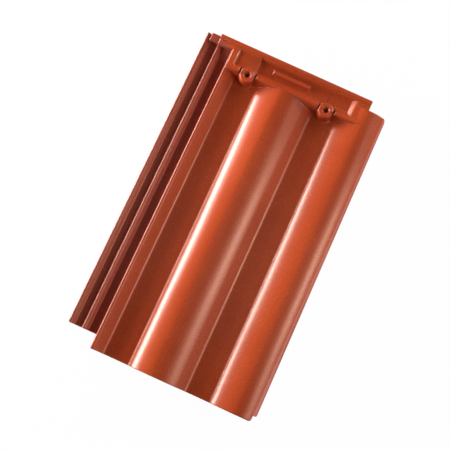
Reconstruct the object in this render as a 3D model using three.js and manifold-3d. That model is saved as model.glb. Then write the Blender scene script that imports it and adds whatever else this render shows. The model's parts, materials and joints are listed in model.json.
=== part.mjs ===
// Clay roof tile: a pressed interlocking tile with two troughs and two rolls.
// Units are millimetres. X runs across the tile from the interlock to the free edge,
// Y runs up the tile from the foot to the head, and Z is up.
import * as THREE from 'three';
import { mergeVertices } from 'three/addons/utils/BufferGeometryUtils.js';
import Module from 'manifold-3d';

const wasm = await Module();
wasm.setup();

// Driving dimensions.
const tileWidth = 280;
const tileLength = 470;
const coverWidth = 240;
const wallThickness = 11;
const wavePitch = coverWidth / 2;
const crownTop = 37;
const rollHeight = 17.5;

// Levels above the surface that the tile lies on.
const troughTop = crownTop - rollHeight;
const troughUnderside = troughTop - wallThickness;
const crownUnderside = crownTop - wallThickness;
const rimTop = crownTop - 1.5;
const stripTop = crownTop - 3;
const landTop = crownTop - 5;
const ribTop = crownTop - 14;
const platformUnderside = crownTop - 18;
const flangeBottom = crownTop - 18.2;
const channelFloor = crownTop - 20;
const interlockUnderside = crownTop - 28;

// Places across the tile.
const outerRib = { left: 0, brow: 3.6, right: 5, foot: 8.3 };
const innerRib = { foot: 19.5, left: 20.7, brow: 23.7, end: 28.3 };
const bodyEdge = { foot: 41.2, left: 42.3, right: 46 };
const firstCrease = 60.5;
const firstRoll = 95;
const crownOffset = 36;
const secondRoll = firstRoll + wavePitch;
const secondCrease = firstCrease + wavePitch;
const cornerCut = 252;

// Places up the tile.
const interlockFoot = 19.5;
const flangeFoot = 8.5;
const easingFoot = 190;
const rollHead = 455;
const channelHead = 457.5;
const lip = { foot: 423.7, edge: 429.6, head: 434.8 };
const rimFoot = 463.4;

// How far back from a corner its rounding starts.
const edgeRound = 1.4;
const ribRound = 1.5;
const browRound = 1.8;
const creaseRound = 3;
const bottomRound = 1;
const endRound = 1.3;
const curveSegments = 4;

const clayColour = new THREE.Color('#a63f24');

// --- Outlines and solids --------------------------------------------------------------

// An outline through corners [a, b, round]: round is how far the rounding reaches back.
function outlineThrough(corners) {
  const outline = new THREE.Shape();
  const at = (i) => {
    const [a, b] = corners[(i + corners.length) % corners.length];
    return new THREE.Vector2(a, b);
  };
  corners.forEach(([a, b, round = 0], i) => {
    const start = at(i - 1).sub(at(i)).setLength(round).add(at(i));
    const end = at(i + 1).sub(at(i)).setLength(round).add(at(i));
    if (i === 0) {
      outline.moveTo(start.x, start.y);
    } else {
      outline.lineTo(start.x, start.y);
    }
    if (round > 0) {
      outline.quadraticCurveTo(a, b, end.x, end.y);
    }
  });
  outline.closePath();
  return outline;
}

// A closed geometry as a solid, without the triangles that have no area once it is merged.
function solid(geometry) {
  const bare = geometry.clone();
  bare.deleteAttribute('normal');
  bare.deleteAttribute('uv');
  const merged = mergeVertices(bare, 1e-4);
  const index = merged.index.array;
  const triangles = [];
  for (let i = 0; i < index.length; i += 3) {
    const [a, b, c] = index.slice(i, i + 3);
    if (a !== b && b !== c && c !== a) {
      triangles.push(a, b, c);
    }
  }
  return new wasm.Manifold(new wasm.Mesh({
    numProp: 3,
    vertProperties: new Float32Array(merged.attributes.position.array),
    triVerts: new Uint32Array(triangles),
  }));
}

function geometryOf(manifold) {
  const mesh = manifold.getMesh();
  const geometry = new THREE.BufferGeometry();
  geometry.setAttribute('position', new THREE.BufferAttribute(mesh.vertProperties, 3));
  geometry.setIndex(new THREE.BufferAttribute(mesh.triVerts, 1));
  geometry.computeVertexNormals();
  return geometry;
}

function prism(shape, length) {
  return new THREE.ExtrudeGeometry(shape, { depth: length, bevelEnabled: false, curveSegments });
}

// A section drawn in x and z, drawn out along the tile.
function alongY(shape, yStart, yEnd) {
  return prism(shape, yEnd - yStart).rotateX(Math.PI / 2).translate(0, yEnd, 0);
}

// A section drawn in y and z, drawn out across the tile.
function alongX(shape, xStart, xEnd) {
  const turn = new THREE.Matrix4().set(0, 0, 1, 0, 1, 0, 0, 0, 0, 1, 0, 0, 0, 0, 0, 1);
  return prism(shape, xEnd - xStart).applyMatrix4(turn).translate(xStart, 0, 0);
}

// A closed skin through sections { outline, y } that all have the same number of points.
function loft(sections) {
  const rings = sections.map(({ outline }) => outline.getPoints(curveSegments).slice(0, -1));
  const count = rings[0].length;
  const lastRing = count * (rings.length - 1);
  const positions = rings.flatMap((ring, r) => ring.flatMap((p) => [p.x, sections[r].y, p.y]));
  const indices = [];
  for (let corner = 0; corner < lastRing; corner += 1) {
    const next = (corner + 1) % count === 0 ? corner + 1 - count : corner + 1;
    indices.push(corner, next, corner + count, next, next + count, corner + count);
  }
  const end = (ring) => THREE.ShapeUtils.triangulateShape(ring, []);
  end(rings[0]).forEach(([a, b, c]) => indices.push(a, b, c));
  end(rings.at(-1)).forEach(([a, b, c]) => indices.push(lastRing + a, lastRing + c, lastRing + b));
  const geometry = new THREE.BufferGeometry();
  geometry.setAttribute('position', new THREE.Float32BufferAttribute(positions, 3));
  geometry.setIndex(indices);
  return geometry;
}

// A loft along the tile whose section draws in at both ends, so that their edges are round.
// Between its ends it is straight but for the places listed as bends.
function roundEnded(sectionAt, yStart, yEnd, round, bends = []) {
  const turns = [0, 30, 60, 90].map((degrees) => THREE.MathUtils.degToRad(degrees));
  const foot = turns.map((turn) => [yStart + round * (1 - Math.cos(turn)), round * (1 - Math.sin(turn))]);
  const head = foot.map(([y, drawn]) => [yStart + yEnd - y, drawn]).reverse();
  const middle = bends.map((y) => [y, 0]);
  const places = [...foot, ...middle, ...head];
  return loft(places.map(([y, drawn]) => ({ y, outline: sectionAt(y, drawn) })));
}

const raised = (corners, by) => corners.map(([x, z, round]) => [x, z + by, round]);

// What two prisms that cross each other have in common.
function crossing(first, second) {
  return solid(first).intersect(solid(second));
}

// --- Cross-section of the waves --------------------------------------------------------

// A roll's left flank: a fillet out of the trough, a slope, then a long curve to the crown.
// The foot of the slope is steepest where steep is 1, and gentlest where it is 0.
function leftFlank(rollStart, crown, steep) {
  const mix = (gentle, full) => THREE.MathUtils.lerp(gentle, full, steep);
  const foot = new THREE.Vector2(rollStart + mix(2.3, 2.8), troughTop + mix(1.9, 1.25));
  const curve = new THREE.CubicBezierCurve(
    foot,
    new THREE.Vector2(foot.x + mix(6.3, 10), foot.y + mix(5.5, 11.8)),
    new THREE.Vector2(crown - mix(9.1, 7.6), crownTop),
    new THREE.Vector2(crown, crownTop),
  );
  const fillet = [foot.x - 1.3, troughTop + 0.1, 1.7];
  return [fillet, ...curve.getPoints(20).map((p) => [p.x, p.y])];
}

const archDrop = (radius, reach) => radius - Math.sqrt(radius ** 2 - reach ** 2);

// A right flank: an arc down from the crown to a given reach.
function rightFlank(crown, radius, reach) {
  const steps = 14;
  const points = [];
  for (let i = 1; i < steps; i += 1) {
    const x = (reach * i) / steps;
    points.push([crown + x, crownTop - archDrop(radius, x)]);
  }
  return points;
}

// The underside of a roll, drawn from right to left.
function arch(start, controlOne, controlTwo, end) {
  const points = [start, controlOne, controlTwo, end].map(([x, z]) => new THREE.Vector2(x, z));
  return new THREE.CubicBezierCurve(...points).getPoints(10).map((p) => [p.x, p.y]);
}

function archUp(rollStart) {
  const crown = rollStart + crownOffset;
  return arch([secondCrease - 4, troughUnderside], [crown + 26, troughUnderside + 7],
    [crown + 16, crownUnderside], [crown, crownUnderside]);
}

function archDown(rollStart, top) {
  return arch([top, crownUnderside], [(top + rollStart) / 2, crownUnderside],
    [rollStart + 9, troughUnderside + 7], [rollStart + 5.5, troughUnderside]);
}

const flankArc = { radius: 75, reach: 39 };
const freeEdge = { top: 274, lean: 2, radius: 54 };

// The flange that drops into the neighbour's inner channel, and the rib for its outer one.
const freeEdgeUnderside = [
  [tileWidth, flangeBottom + 2],
  [tileWidth, flangeBottom, 1],
  [tileWidth - 7, flangeBottom, 1],
  [tileWidth - 9.5, crownUnderside - 1, 2],
  [tileWidth - 22, crownUnderside - 0.5, 1.5],
  [tileWidth - 23.5, flangeBottom, 1],
  [tileWidth - 28.5, flangeBottom, 1],
  [tileWidth - 30, crownUnderside - 0.5, 1],
];

const waveUnderside = [
  ...freeEdgeUnderside,
  ...archDown(secondRoll, tileWidth - 33),
  ...archUp(firstRoll),
  ...archDown(firstRoll, firstRoll + crownOffset),
  [firstCrease - 3, troughUnderside],
  [bodyEdge.right + 4.5, troughUnderside + 7.5],
  [bodyEdge.right + 1, troughUnderside + 6],
];

// Towards the head the left flanks ease and the free edge leans out.
function waveTop(y) {
  const steep = Math.min(1, (rollHead - y) / (rollHead - easingFoot));
  const crowns = [firstRoll + crownOffset, secondRoll + crownOffset];
  const edge = freeEdge.top + (freeEdge.lean * y) / rollHead;
  const reach = edge - crowns[1];
  const troughMiddle = (crease) => [crease + 17, troughTop - 0.3, 8];
  return [
    [bodyEdge.left - 0.2, landTop, 2.2],
    [bodyEdge.right, landTop - 0.4, 1.2],
    [firstCrease, troughTop, creaseRound],
    troughMiddle(firstCrease),
    ...leftFlank(firstRoll, crowns[0], steep),
    ...rightFlank(crowns[0], flankArc.radius, flankArc.reach),
    [secondCrease, troughTop, creaseRound],
    troughMiddle(secondCrease),
    ...leftFlank(secondRoll - 1, crowns[1], 0.45 * steep),
    ...rightFlank(crowns[1], freeEdge.radius, reach),
    [edge, crownTop - archDrop(freeEdge.radius, reach), 1],
  ];
}

function bodySection(y, drawn) {
  return outlineThrough([
    [bodyEdge.foot, interlockUnderside],
    [bodyEdge.foot, channelFloor],
    ...raised(waveTop(y), -drawn),
    ...raised(waveUnderside, drawn),
  ]);
}

function interlockSection(y, drawn) {
  const top = [
    [outerRib.left, ribTop, ribRound],
    [outerRib.brow, ribTop - 0.1, browRound],
    [outerRib.foot, channelFloor, ribRound],
    [innerRib.foot, channelFloor, bottomRound],
    [innerRib.left - 0.4, ribTop, 1.2],
    [innerRib.brow, ribTop - 0.1, browRound],
    [innerRib.end, channelFloor, ribRound],
    [bodyEdge.foot, channelFloor, bottomRound],
    [bodyEdge.foot + 0.4, channelFloor + 5],
    [bodyEdge.right, channelFloor + 5],
  ];
  const underside = [
    [bodyEdge.right, interlockUnderside + 4],
    [bodyEdge.foot, interlockUnderside],
    [0, interlockUnderside, edgeRound],
  ];
  return outlineThrough([...raised(top, -drawn), ...raised(underside, drawn)]);
}

// --- Head ------------------------------------------------------------------------------

// Lip, strip and rim in one section up the tile, with a fillet where the lip meets a trough.
function headPlatform() {
  const section = outlineThrough([
    [lip.foot - 6, troughTop - 6],
    [lip.foot - 6, troughTop - 0.4],
    [lip.foot, troughTop - 0.1, 3],
    [lip.edge, crownTop, 1.6],
    [lip.head, crownTop, 2],
    [lip.head + 2.4, stripTop, 1],
    [rimFoot, stripTop, 0.4],
    [rimFoot + 1, rimTop, 0.5],
    [tileLength, rimTop, edgeRound],
    [tileLength, platformUnderside, edgeRound],
    [lip.head, platformUnderside, 2],
    [lip.foot, troughTop - 6],
  ]);
  return solid(alongX(section, bodyEdge.left + 1.9, cornerCut));
}

// The left end of the head: a shoulder that falls to the left over the inner channel.
function headShoulder() {
  const left = innerRib.left - 0.4;
  const across = outlineThrough([
    [left, interlockUnderside],
    [left, stripTop - 2.6, edgeRound],
    [42, stripTop, 8],
    [54, stripTop],
    [54, platformUnderside],
    [bodyEdge.foot, interlockUnderside],
  ]);
  const land = outlineThrough([
    [bodyEdge.foot, interlockUnderside],
    [bodyEdge.left, landTop, edgeRound],
    [54, landTop],
    [54, platformUnderside],
  ]);
  const rim = outlineThrough([
    [rimFoot, channelFloor],
    [rimFoot, stripTop - 2],
    [rimFoot + 1, rimTop, 0.5],
    [tileLength, rimTop, edgeRound],
    [tileLength, channelFloor],
  ]);
  const shoulder = solid(alongY(across, channelHead - 1, tileLength - 1));
  const landHead = solid(alongY(land, rollHead - 2, channelHead));
  return shoulder.add(landHead).add(solid(alongX(rim, left, 60)));
}

// The low block that closes the outer channel at the head, and the ramp in the inner one.
function channelStops() {
  const blockTop = ribTop + 4.2;
  const block = outlineThrough([
    [outerRib.right + 1.1, channelFloor - 2],
    [outerRib.right + 1.8, blockTop, 1.2],
    [innerRib.left + 1, blockTop],
    [innerRib.left + 1, channelFloor - 2],
  ]);
  const ramp = outlineThrough([
    [channelHead - 22, channelFloor - 0.5],
    [channelHead, channelFloor + 3.5, 2],
    [channelHead + 2, channelFloor + 3.5],
    [channelHead + 2, channelFloor - 0.5],
  ]);
  const stop = solid(alongY(block, channelHead, tileLength - 1.3));
  return stop.add(solid(alongX(ramp, innerRib.end - 1, bodyEdge.foot + 0.5)));
}

// The recess between lip and rim, in three depths, with mitred sloping walls.
const shallowFloor = crownTop - 5.2;
const middleFloor = crownTop - 9;
const deepFloor = crownTop - 9.8;
const above = crownTop + 6;

function shallowRecess() {
  const across = outlineThrough([
    [50.4, above],
    [51.4, stripTop + 0.4, 0.8],
    [54.6, shallowFloor, 1],
    [88, shallowFloor],
    [88, above],
  ]);
  const up = outlineThrough([
    [lip.head - 0.4, above],
    [lip.head - 0.4, crownTop],
    [lip.head + 3, shallowFloor, 1],
    [458.6, shallowFloor, 1.2],
    [rimFoot + 0.6, rimTop + 0.2],
    [rimFoot + 0.6, above],
  ]);
  return crossing(alongY(across, lip.foot, tileLength), alongX(up, 40, 100));
}

function deepRecess() {
  const across = outlineThrough([
    [84.2, above],
    [84.6, stripTop - 1, 0.8],
    [86.8, middleFloor, 1],
    [192.4, middleFloor, 0.4],
    [193.4, deepFloor, 0.4],
    [225, deepFloor, 1.2],
    [233, crownTop - 3.2, 4],
    [244, crownTop + 0.8],
    [244, above],
  ]);
  const up = outlineThrough([
    [431.6, above],
    [431.6, crownTop],
    [440.7, (middleFloor + deepFloor) / 2, 3],
    [459.4, (middleFloor + deepFloor) / 2 - 0.2, 1.2],
    [462.6, rimTop - 0.3, 0.6],
    [463.4, above],
  ]);
  return crossing(alongY(across, lip.foot, tileLength), alongX(up, 80, 246));
}

// The raised bar on the floor of the recess.
function stiffeningBar() {
  const top = middleFloor + 4.5;
  const bottom = deepFloor - 1;
  const across = outlineThrough([
    [107.4, bottom], [109, top, 0.8], [163.6, top, 0.8], [165.2, bottom],
  ]);
  const up = outlineThrough([
    [446.2, bottom], [448.8, top, 0.7], [453.2, top, 0.7], [455.8, bottom],
  ]);
  return crossing(alongY(across, 440, 462), alongX(up, 100, 170));
}

// --- Nail bosses -------------------------------------------------------------------------

const boss = { x: firstCrease + 16.5, y: 429.6, radius: 10.3, top: crownTop - 1.4 };
const nail = { radius: 2.75, sinkRadius: 5.4, sinkDepth: 3 };

// A round solid turned about an upright axis from corners [radius, height, round].
function turned(corners, x, y) {
  const profile = outlineThrough(corners).getPoints(4);
  const geometry = new THREE.LatheGeometry([...profile, profile[0]], 48);
  return solid(geometry.rotateX(Math.PI / 2).translate(x, y, 0));
}

function bossBody(x) {
  return turned([
    [0, troughTop - 3],
    [boss.radius + 6, troughTop - 3],
    [boss.radius + 6, troughTop - 0.3],
    [boss.radius + 1.9, troughTop, 3],
    [boss.radius, boss.top, 1.2],
    [0, boss.top],
  ], x, boss.y);
}

// The lip stands back from the boss by a narrow drain slot on both sides, with its end cut back.
function drainSlots(x) {
  const slot = (side) => {
    const inner = x + side * (boss.radius - 0.2);
    const outer = inner + side * 2.1;
    const corners = [
      [inner - side * 0.3, above],
      [inner, crownTop - 7, 0.6],
      [outer, crownTop - 7, 0.6],
      [outer + side * 0.3, crownTop - 1.9, 0.5],
      [outer + side * 1.9, crownTop + 0.1],
      [outer + side * 1.9, above],
    ];
    const outline = outlineThrough(side > 0 ? corners : corners.reverse());
    return solid(alongY(outline, lip.foot - 4, lip.head + 3));
  };
  return slot(-1).add(slot(1));
}

function nailHole(x) {
  return turned([
    [0, -1],
    [nail.radius, -1],
    [nail.radius, boss.top - nail.sinkDepth],
    [nail.sinkRadius, boss.top + 0.3],
    [nail.sinkRadius, above],
    [0, above],
  ], x, boss.y);
}

// --- Underside -----------------------------------------------------------------------------

// A block under a trough, with sloping sides, that reaches down to the surface below.
function underBlock(troughStart, width, up) {
  const across = outlineThrough([
    [troughStart + 2, 0, 1],
    [troughStart + width - 2, 0, 1],
    [troughStart + width, crownUnderside - 4],
    [troughStart, crownUnderside - 4],
  ]);
  return crossing(alongY(across, 0, tileLength), alongX(up, troughStart - 2, troughStart + 40));
}

function hangingNib(troughStart) {
  const up = outlineThrough([
    [448, 0, 1], [459, 0, 1.5], [464, platformUnderside + 1], [448, platformUnderside + 1],
  ]);
  return underBlock(troughStart, 34, up);
}

function footRib(troughStart) {
  const up = outlineThrough([
    [3.5, 0, 1.2], [11, 0, 1.2], [13, troughUnderside + 2], [2, troughUnderside + 2],
  ]);
  return underBlock(troughStart, 35, up);
}

// --- Outline seen from above -----------------------------------------------------------------

function planOutline() {
  return outlineThrough([
    [0, interlockFoot, 2.4],
    [bodyEdge.foot + 0.2, interlockFoot],
    [bodyEdge.foot + 0.6, 0, 2],
    [tileWidth - 6, 0, 4.5],
    [tileWidth - 6, flangeFoot],
    [tileWidth, flangeFoot, 3],
    [tileWidth, rollHead, 4],
    [cornerCut, rollHead, 4.5],
    [cornerCut, tileLength, 2],
    [innerRib.left, tileLength, 1],
    [innerRib.left - 0.6, tileLength - 1.2],
    [0, tileLength - 1.2, 1.8],
  ]);
}

// --- Tile --------------------------------------------------------------------------------------

function roofTile() {
  const troughs = [firstCrease, secondCrease];
  const bosses = [boss.x, boss.x + wavePitch];
  let tile = solid(roundEnded(bodySection, 0, rollHead, endRound, [easingFoot]));
  tile = tile.add(solid(roundEnded(interlockSection, interlockFoot, tileLength - 1.2, endRound)));
  tile = tile.add(headPlatform()).add(headShoulder()).add(channelStops());
  tile = tile.subtract(shallowRecess()).subtract(deepRecess()).add(stiffeningBar());
  for (const x of bosses) {
    tile = tile.subtract(drainSlots(x)).add(bossBody(x));
  }
  for (const start of troughs) {
    tile = tile.add(hangingNib(start)).add(footRib(start));
  }
  for (const x of bosses) {
    tile = tile.subtract(nailHole(x));
  }
  const plan = prism(planOutline(), above + 1).translate(0, 0, -1);
  return tile.intersect(solid(plan));
}

const group = new THREE.Group();
const clay = new THREE.MeshStandardMaterial({ color: clayColour, roughness: 0.35, metalness: 0 });
const tileMesh = new THREE.Mesh(geometryOf(roofTile()), clay);
tileMesh.name = 'roof_tile';
tileMesh.position.set(-tileWidth / 2, -tileLength / 2, 0);
group.add(tileMesh);

export default group;
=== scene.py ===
import json
import math

import bpy
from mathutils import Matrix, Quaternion, Vector

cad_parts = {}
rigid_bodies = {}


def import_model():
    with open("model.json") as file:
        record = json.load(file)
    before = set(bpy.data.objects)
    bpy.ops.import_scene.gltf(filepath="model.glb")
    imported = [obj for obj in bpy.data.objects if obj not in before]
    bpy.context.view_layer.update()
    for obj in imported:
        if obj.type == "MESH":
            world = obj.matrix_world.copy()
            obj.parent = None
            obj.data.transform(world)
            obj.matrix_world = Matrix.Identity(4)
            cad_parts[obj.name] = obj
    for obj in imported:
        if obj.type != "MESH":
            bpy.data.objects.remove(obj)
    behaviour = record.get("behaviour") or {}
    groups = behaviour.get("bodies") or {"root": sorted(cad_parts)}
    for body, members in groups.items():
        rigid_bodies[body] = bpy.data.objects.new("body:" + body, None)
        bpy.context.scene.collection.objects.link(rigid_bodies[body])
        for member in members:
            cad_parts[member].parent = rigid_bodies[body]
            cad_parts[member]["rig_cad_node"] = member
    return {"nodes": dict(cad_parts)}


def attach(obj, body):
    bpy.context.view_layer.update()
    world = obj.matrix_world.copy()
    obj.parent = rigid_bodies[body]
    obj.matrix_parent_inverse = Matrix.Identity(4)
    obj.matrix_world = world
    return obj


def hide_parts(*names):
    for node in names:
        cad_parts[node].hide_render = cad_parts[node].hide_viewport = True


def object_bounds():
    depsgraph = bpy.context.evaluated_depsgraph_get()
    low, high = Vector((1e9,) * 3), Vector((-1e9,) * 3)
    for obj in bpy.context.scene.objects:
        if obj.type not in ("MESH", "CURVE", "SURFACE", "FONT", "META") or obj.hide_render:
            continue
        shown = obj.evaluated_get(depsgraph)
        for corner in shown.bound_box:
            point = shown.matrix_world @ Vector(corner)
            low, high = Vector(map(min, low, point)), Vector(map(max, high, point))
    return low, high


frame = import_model()
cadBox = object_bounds()
print("frame loaded")


def selectOnly(piece):
    bpy.ops.object.select_all(action="DESELECT")
    piece.select_set(True)
    bpy.context.view_layer.objects.active = piece


def addModifier(piece, kind, **settings):
    modifier = piece.modifiers.new(kind.lower(), kind)
    for name, value in settings.items():
        setattr(modifier, name, value)
    return modifier


def applyAll(piece):
    selectOnly(piece)
    for name in [m.name for m in piece.modifiers]:
        bpy.ops.object.modifier_apply(modifier=name)


# the fired tile: a copy of the solid, its doubles merged, shaded smooth over its rounded edges
tile = {
    "weld": 0.00001,  # metres
    "angle": 14,  # degrees, past which an edge stays sharp
    "flatWeight": 100,  # how far the large faces keep their own normals
}


def makeTile():
    selectOnly(frame["nodes"]["roof_tile"])
    bpy.ops.object.duplicate()
    piece = bpy.context.object
    piece.name = "fired_tile"
    del piece["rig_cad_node"]
    bpy.ops.object.mode_set(mode="EDIT")
    bpy.ops.mesh.select_all(action="SELECT")
    bpy.ops.mesh.remove_doubles(threshold=tile["weld"])
    bpy.ops.object.mode_set(mode="OBJECT")
    bpy.ops.object.shade_smooth_by_angle(angle=math.radians(tile["angle"]))
    addModifier(piece, "WEIGHTED_NORMAL", mode="FACE_AREA_WITH_ANGLE",
                weight=tile["flatWeight"], keep_sharp=True)
    applyAll(piece)
    print("tile:", len(piece.data.polygons), "faces")
    return piece


piece = makeTile()
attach(piece, "root")
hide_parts("roof_tile")


# one socket of a material, with arithmetic
class Signal:
    def __init__(self, maker, socket):
        self.maker = maker
        self.socket = socket

    def math(self, operation, *others):
        return self.maker.node("ShaderNodeMath", {"operation": operation}, [self, *others])

    def __add__(self, other):
        return self.math("ADD", other)

    def __radd__(self, other):
        return self.math("ADD", other)

    def __sub__(self, other):
        return self.math("SUBTRACT", other)

    def __rsub__(self, other):
        return self.maker.node("ShaderNodeMath", {"operation": "SUBTRACT"}, [other, self])

    def __mul__(self, other):
        return self.math("MULTIPLY", other)

    def __rmul__(self, other):
        return self.math("MULTIPLY", other)

    # from 0 at the first value to 1 at the last
    def rising(self, first, last):
        settings = {"interpolation_type": "SMOOTHSTEP"}
        return self.maker.node("ShaderNodeMapRange", settings, [self, first, last])

    # from 1 at the first value to 0 at the last
    def falling(self, first, last):
        return (0 - self).rising(-last, -first)


# makes the nodes of one material
class Maker:
    def __init__(self, name):
        self.material = bpy.data.materials.new(name)
        self.material.use_nodes = True
        self.tree = self.material.node_tree
        self.shader = self.tree.nodes["Principled BSDF"]

    def put(self, socket, value):
        if isinstance(value, Signal):
            self.tree.links.new(value.socket, socket)
        else:
            socket.default_value = value

    def node(self, kind, settings, inputs, output=0):
        made = self.tree.nodes.new(kind)
        for name, value in settings.items():
            setattr(made, name, value)
        pairs = inputs.items() if isinstance(inputs, dict) else enumerate(inputs)
        for name, value in pairs:
            self.put(made.inputs[name], value)
        return Signal(self, made.outputs[output])

    # a Mix node has its colours at inputs 6 and 7 and at output 2
    def mix(self, amount, first, second):
        inputs = {0: amount, 6: first, 7: second}
        return self.node("ShaderNodeMix", {"data_type": "RGBA"}, inputs, 2)

    def noise(self, place, scale, detail):
        inputs = {"Vector": place, "Scale": scale, "Detail": detail}
        return self.node("ShaderNodeTexNoise", {}, inputs)

    def axis(self, vector, name):
        return self.node("ShaderNodeSeparateXYZ", {}, [vector], name)

    def finish(self, **values):
        for name, value in values.items():
            self.put(self.shader.inputs[name.replace("_", " ")], value)
        return self.material


# the engobe is the sprayed skin, the body the bare fired clay below it; colours are linear,
# starts, tops and reaches are in metres, and a pair runs from none to full or from full to none
engobe = {
    "colour": (0.45, 0.0575, 0.0135, 1),
    "shine": (1.0, 0.69, 0.56, 1),
    "specular": 0.78,
    "ior": 1.6,
    "roughness": 0.25,
    # broad clouds of thicker skin
    "thick": (0.41, 0.050, 0.0115, 1),
    "cloudScale": 14,
    "cloudRange": (0.35, 0.7),
    "cloudRough": 0.04,
    # speckles of thinner skin, and the grain between them
    "thin": (0.50, 0.080, 0.024, 1),
    "speckleScale": 850,
    "speckleRange": (0.35, 0.8),
    "speckleShare": 0.3,
    "speckleRough": 0.16,
    "grainScale": 1900,
    "grainShare": 0.4,
    "grainDepth": 0.00007,
    "grainStrength": 0.5,
    # painted shade on the side joint, left of the wave and below its ribs' tops
    "jointShade": (0.30, 0.055, 0.028, 1),
    "jointStart": (-0.0974, -0.0958),
    "jointTop": (0.0325, 0.034),
    # sharp edges, worn lighter, and those of them that face the lap, lightened further by a painted
    # highlight
    "edge": (0.78, 0.50, 0.40, 1),
    "edgeReach": 0.0014,
    "edgeSamples": 12,
    "edgeRange": (0.02, 0.2),
    "edgeShare": 0.12,
    "lapStart": (-0.138, -0.1365),
    "lapFacing": (-0.5, -0.15),
    "lapHighlightShare": 0.7,
    # painted shade in the corners; its colour also darkens the outer face of the free edge
    "corner": (0.18, 0.022, 0.008, 1),
    "cornerReach": 0.007,
    "cornerSamples": 8,
    "cornerRange": (0.2, 0.7),
    "cornerShadeShare": 0.5,
    # the outer face of the free edge, darkened with painted shade
    "outerStart": (0.118, 0.128),
    "outerFacing": (0.25, 0.6),
    "outerShadeShare": 0.55,
    # faces turned down
    "body": (0.42, 0.135, 0.062, 1),
    "bodyRoughness": 0.8,
    "bodyRange": (0.1, 0.45),
    "bodyClouds": 0.9,
}


def makeEngobe():
    m = Maker("red_engobe")
    place = m.node("ShaderNodeTexCoord", {}, {}, "Object")
    x = m.axis(place, "X")
    z = m.axis(place, "Z")
    normal = m.node("ShaderNodeNewGeometry", {}, {}, "Normal")
    up = m.axis(normal, "Z")
    clouds = m.noise(place, engobe["cloudScale"], 3)
    speckle = m.noise(place, engobe["speckleScale"], 2)
    grain = m.noise(place, engobe["grainScale"], 1)

    # the skin is cloudy and finely speckled
    colour = m.mix(clouds.rising(*engobe["cloudRange"]), engobe["thick"], engobe["colour"])
    thin = speckle.rising(*engobe["speckleRange"]) * engobe["speckleShare"]
    colour = m.mix(thin, colour, engobe["thin"])

    # painted shade: the side joint is darker
    jointShade = x.falling(*engobe["jointStart"]) * z.falling(*engobe["jointTop"])
    colour = m.mix(jointShade, colour, engobe["jointShade"])

    # the skin draws back from sharp edges, found where a rounded normal leaves the true one, so
    # they wear lighter; the edges that face the lap, towards the main lamps, are lightened further
    # as a painted highlight
    settings = {"samples": engobe["edgeSamples"]}
    rounded = m.node("ShaderNodeBevel", settings, {"Radius": engobe["edgeReach"]})
    along = m.node("ShaderNodeVectorMath", {"operation": "DOT_PRODUCT"}, [rounded, normal], "Value")
    edge = (1 - along).rising(*engobe["edgeRange"])
    lapHighlight = m.axis(rounded, "X").falling(*engobe["lapFacing"]) * x.rising(*engobe["lapStart"])
    wearAndHighlight = edge * (lapHighlight * engobe["lapHighlightShare"] + engobe["edgeShare"])
    colour = m.mix(wearAndHighlight, colour, engobe["edge"])

    # painted shade darkens the corners, where little light reaches
    settings = {"samples": engobe["cornerSamples"], "only_local": True}
    reach = {"Distance": engobe["cornerReach"]}
    openness = m.node("ShaderNodeAmbientOcclusion", settings, reach, "AO")
    corner = (1 - openness).rising(*engobe["cornerRange"]) * engobe["cornerShadeShare"]
    colour = m.mix(corner, colour, engobe["corner"])

    # the outer face of the free edge is rougher, and painted shade darkens it
    outer = x.rising(*engobe["outerStart"]) * up.falling(*engobe["outerFacing"])
    colour = m.mix(outer * engobe["outerShadeShare"], colour, engobe["corner"])

    # faces turned down are bare
    bare = (0 - up + (clouds - 0.5) * engobe["bodyClouds"]).rising(*engobe["bodyRange"])
    colour = m.mix(bare, colour, engobe["body"])

    rough = engobe["roughness"] + (speckle - 0.5) * engobe["speckleRough"]
    rough = rough + (clouds - 0.5) * engobe["cloudRough"]
    dull = bare.math("MAXIMUM", outer)
    rough = rough + dull * (engobe["bodyRoughness"] - engobe["roughness"])
    relief = {
        "Strength": engobe["grainStrength"],
        "Distance": engobe["grainDepth"],
        "Height": grain * engobe["grainShare"] + speckle,
        "Normal": rounded,
    }
    bump = m.node("ShaderNodeBump", {}, relief)
    return m.finish(Base_Color=colour, Roughness=rough, Normal=bump, IOR=engobe["ior"],
                    Specular_IOR_Level=engobe["specular"], Specular_Tint=engobe["shine"])


piece.data.materials.clear()
piece.data.materials.append(makeEngobe())
print("engobe made")


# the floor, and the low wall round it, show plain white, except where the floor is seen
# through a nail hole
ground = {
    "size": 40,
    "wall": 1,
    "colour": (0.8, 0.8, 0.8, 1),
    "roughness": 0.9,
    "glow": 0.98,
    "holes": ((-0.063, 0.205, 0), (0.057, 0.205, 0)),
    "holeReach": 0.02,
}


def makePale():
    m = Maker("pale_floor")
    m.finish(Base_Color=ground["colour"], Roughness=ground["roughness"])
    rays = ("Is Camera Ray", "Is Glossy Ray", "Is Transmission Ray")
    camera, glossy, through = [m.node("ShaderNodeLightPath", {}, {}, ray) for ray in rays]
    share = (camera + glossy + through) * ground["glow"]
    place = m.node("ShaderNodeTexCoord", {}, {}, "Object")
    for hole in ground["holes"]:
        away = m.node("ShaderNodeVectorMath", {"operation": "DISTANCE"}, [place, hole], "Value")
        share = share * away.math("GREATER_THAN", ground["holeReach"])
    white = m.node("ShaderNodeEmission", {}, {"Strength": 1})
    shaded = Signal(m, m.shader.outputs[0])
    lit = m.node("ShaderNodeMixShader", {}, [share, shaded, white])
    m.put(m.tree.nodes["Material Output"].inputs[0], lit)
    return m.material


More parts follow.
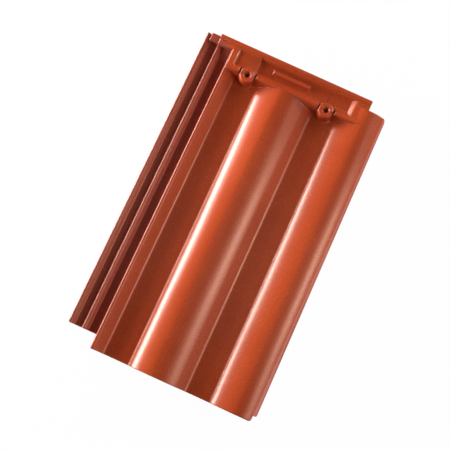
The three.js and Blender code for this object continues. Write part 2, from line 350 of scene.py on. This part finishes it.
def makeGround():
    pale = makePale()
    middle = (0, 0, cadBox[0].z)
    bpy.ops.object.select_all(action="DESELECT")
    bpy.ops.mesh.primitive_plane_add(size=ground["size"], location=middle)
    floor = bpy.context.object
    floor.name = "floor"
    floor.data.materials.append(pale)
    bpy.ops.object.select_all(action="DESELECT")
    bpy.ops.mesh.primitive_cylinder_add(radius=ground["size"] / 2, depth=ground["wall"] * 2,
                                        end_fill_type="NOTHING", location=middle)
    backdrop = bpy.context.object
    backdrop.name = "backdrop"
    backdrop.data.materials.append(pale)
    print("floor laid")


makeGround()


# each softbox: its middle, the way it faces, its width and height, how bright its face is,
# its colour and how many degrees it leans
lampColours = {"cool": (0.92, 1.0, 1.08), "plain": (1, 1, 1), "warm": (1, 0.92, 0.85)}
softboxes = {
    "long_left": ((-0.9, -0.06, 0.175), (1, 0, 0), 0.88, 0.26, 23.0, "cool", 14),
    "left_hot": ((-0.9, 0.21, 0.215), (1, 0, 0), 0.5, 0.25, 23.0, "cool", 0),
    "left_head": ((-0.9, 0.47, 0.15), (1, 0, 0), 0.32, 0.18, 24.0, "cool", 0),
    "left_high": ((-0.9, 0.18, 0.42), (1, 0, 0), 0.46, 0.14, 6.0, "cool", 0),
    "right_low": ((1.2, 0.0, 0.11), (-1, 0, 0), 1.0, 0.18, 4.5, "plain", 0),
    "right_middle": ((1.2, 0.2, 0.3), (-1, 0, 0), 1.4, 0.2, 0.4, "plain", 0),
    "right_upper": ((1.2, 0.1, 0.95), (-1, 0, 0), 1.2, 0.3, 1.3, "warm", 0),
    "right_foot": ((1.2, -0.3, 1.0), (-1, 0, 0), 0.5, 0.24, 4.5, "warm", 0),
    "sheen": ((1.2, 0.25, 1.29), (-1, 0, 0), 0.5, 0.52, 7.6, "warm", 0),
    "sheen_foot": ((1.2, -0.4, 1.3), (-1, 0, 0), 0.8, 0.4, 3.4, "warm", 0),
    "head_right": ((1.05, 1.3, 0.5), (-0.6, -1, 0), 0.7, 0.7, 6.5, "plain", 0),
    "head": ((0.6, 1.4, 0.9), (0, -1, 0), 0.6, 1.2, 4.4, "plain", 0),
    "foot": ((0.6, -1.4, 0.6), (0, 1, 0), 0.6, 1.2, 0.6, "plain", 0),
    "above_right": ((1.1, 0.35, 1.6), (0, 0, -1), 0.4, 1.1, 1.7, "warm", 0),
    "above": ((0.3, 0.2, 1.6), (0, 0, -1), 1.2, 0.6, 0.26, "plain", 0),
}
surroundings = {"colour": (1, 1, 1, 1), "strength": 0.01}


def addSoftbox(name, place, facing, width, height, brightness, colour, lean):
    bpy.ops.object.light_add(type="AREA", location=place)
    lamp = bpy.context.object
    lamp.name = name
    lamp.data.shape = "RECTANGLE"
    lamp.data.size = width
    lamp.data.size_y = height
    lamp.data.energy = math.pi * width * height * brightness
    lamp.data.color = lampColours[colour]
    lamp.rotation_mode = "QUATERNION"
    turned = Vector(facing).to_track_quat("-Z", "Y")
    lamp.rotation_quaternion = turned @ Quaternion((0, 0, 1), math.radians(lean))


def lightStudio():
    for name, values in softboxes.items():
        addSoftbox(name, *values)
    world = bpy.context.scene.world or bpy.data.worlds.new("studio")
    bpy.context.scene.world = world
    world.use_nodes = True
    background = world.node_tree.nodes["Background"]
    background.inputs["Color"].default_value = surroundings["colour"]
    background.inputs["Strength"].default_value = surroundings["strength"]
    print("studio lit")


lightStudio()


# the camera looks down on the tile from over its foot, turned a quarter of a right angle
view = {
    "place": (0.0252, -0.2072, 1.1809),
    "turns": (9.416, -2.716, 24.364),  # degrees about X, Y and Z
    "lens": 68.8,
    "sensor": 36,
}


def addCamera():
    bpy.ops.object.camera_add(location=view["place"])
    camera = bpy.context.object
    camera.rotation_euler = [math.radians(turn) for turn in view["turns"]]
    camera.data.lens = view["lens"]
    camera.data.sensor_width = view["sensor"]
    bpy.context.scene.camera = camera
    bpy.context.scene.view_settings.view_transform = "Standard"
    print("camera set")


addCamera()
